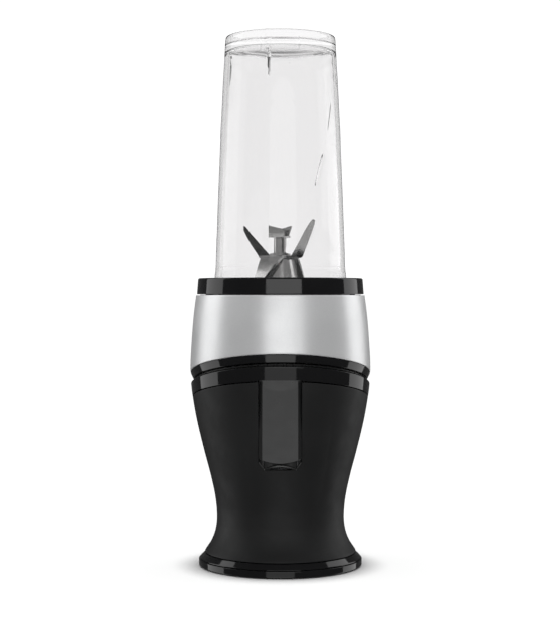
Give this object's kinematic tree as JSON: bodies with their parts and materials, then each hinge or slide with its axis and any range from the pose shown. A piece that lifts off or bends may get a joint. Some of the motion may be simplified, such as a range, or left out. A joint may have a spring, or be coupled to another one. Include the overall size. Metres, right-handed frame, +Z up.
{
  "type": "countertop blender",
  "caption": "Personal blender: inverted clear cup screwed to a blade unit, pressed into a waisted black motor base with a silver collar.",
  "frame": {"origin": "centre of the underside, on the surface it stands on", "axes": "+Z up along the motor shaft, the front panel towards -Y, +X to the right seen from the front"},
  "size_m": [0.1118, 0.1119, 0.328],
  "materials": {
    "matte_housing": "fine satin moulded black",
    "gloss_black": "polished black",
    "silver_paint": "satin silver metallic paint",
    "clear_cup": "clear polished copolyester",
    "blade_steel": "brushed stainless",
    "hub_steel": "satin turned stainless",
    "motor_iron": "laminated steel and zinc-plated pressings",
    "copper_wire": "enamelled copper windings",
    "bronze": "sintered bronze and brass",
    "black_rubber": "moulded rubber",
    "silicone": "translucent grey silicone",
    "black_nylon": "glass-filled nylon",
    "carbon": "pressed carbon"
  },
  "bodies": {
    "motor_base": {"lower_housing": "matte_housing", "front_panel": "matte_housing", "shoulder_ring": "gloss_black", "vent_ring": "black_nylon", "collar_trim_ring": "gloss_black", "silver_collar": "silver_paint", "top_rim": "gloss_black", "bottom_cover": "gloss_black", "foot_trim_ring": "gloss_black", "rubber_foot_1": "black_rubber", "rubber_foot_2": "black_rubber", "rubber_foot_3": "black_rubber", "rubber_foot_4": "black_rubber", "base_screw_1": "hub_steel", "base_screw_2": "hub_steel", "base_screw_3": "hub_steel", "base_screw_4": "hub_steel", "cord_gland": "black_rubber", "drive_well": "black_nylon", "well_seal": "silicone", "interlock_carrier": "black_nylon", "interlock_spring_1": "hub_steel", "interlock_spring_2": "hub_steel", "interlock_spring_3": "hub_steel", "interlock_switch": "black_nylon", "motor_bracket_upper": "motor_iron", "motor_bracket_lower": "motor_iron", "motor_mount_1": "black_rubber", "motor_mount_2": "black_rubber", "motor_mount_3": "black_rubber", "stator_core": "motor_iron", "field_coil_left": "copper_wire", "field_coil_right": "copper_wire", "brush_holder_front": "bronze", "brush_holder_back": "bronze", "carbon_brush_front": "carbon", "carbon_brush_back": "carbon", "bearing_upper": "hub_steel", "bearing_lower": "hub_steel"},
    "rotor": {"motor_shaft": "hub_steel", "armature_core": "motor_iron", "armature_winding": "copper_wire", "commutator": "copper_wire", "cooling_fan": "black_nylon", "drive_coupling": "black_nylon"},
    "interlock_plungers": {"interlock_plunger_1": "black_nylon", "interlock_plunger_2": "black_nylon", "interlock_plunger_3": "black_nylon"},
    "blade_unit": {"blade_base": "gloss_black", "bearing_hub": "hub_steel", "shaft_bush_lower": "bronze", "shaft_bush_upper": "bronze", "shaft_seal": "silicone"},
    "gasket": {"cup_gasket": "silicone"},
    "cup": {"cup": "clear_cup"},
    "blades": {"blade_shaft": "blade_steel", "lower_blade": "blade_steel", "blade_spacer": "blade_steel", "upper_blade": "blade_steel", "driven_coupling": "black_nylon"}
  },
  "joints": [
    {"name": "motor_spin", "type": "hinge", "parent": "motor_base", "child": "rotor", "pos_m": [0, 0, 0.08], "axis": [0, 0, 1], "continuous": true},
    {"name": "cup_press", "type": "slide", "parent": "motor_base", "child": "interlock_plungers", "axis": [0, 0, 1], "range_m": [-0.004, 0], "stiffness_N_per_m": 2500, "springref_m": 0.004, "deforming": ["interlock_spring_1", "interlock_spring_2", "interlock_spring_3"]},
    {"name": "jar_lift", "type": "slide", "parent": "interlock_plungers", "child": "blade_unit", "axis": [0, 0, 1], "range_m": [0, 0.08]},
    {"name": "cup_unscrew", "type": "hinge", "parent": "blade_unit", "child": "gasket", "pos_m": [0, 0, 0.156], "axis": [0, 0, 1], "range_deg": [0, 360]},
    {"name": "cup_rise", "type": "slide", "parent": "gasket", "child": "cup", "axis": [0, 0, 1], "range_m": [0, 0.00501]},
    {"name": "blade_spin", "type": "hinge", "parent": "blade_unit", "child": "blades", "pos_m": [0, 0, 0.19], "axis": [0, 0, 1], "continuous": true}
  ],
  "couplings": [
    {"joint": "cup_rise", "follows": "cup_unscrew", "m_per_rad": 0.00079577},
    {"joint": "blade_spin", "follows": "motor_spin", "ratio": 1}
  ]
}
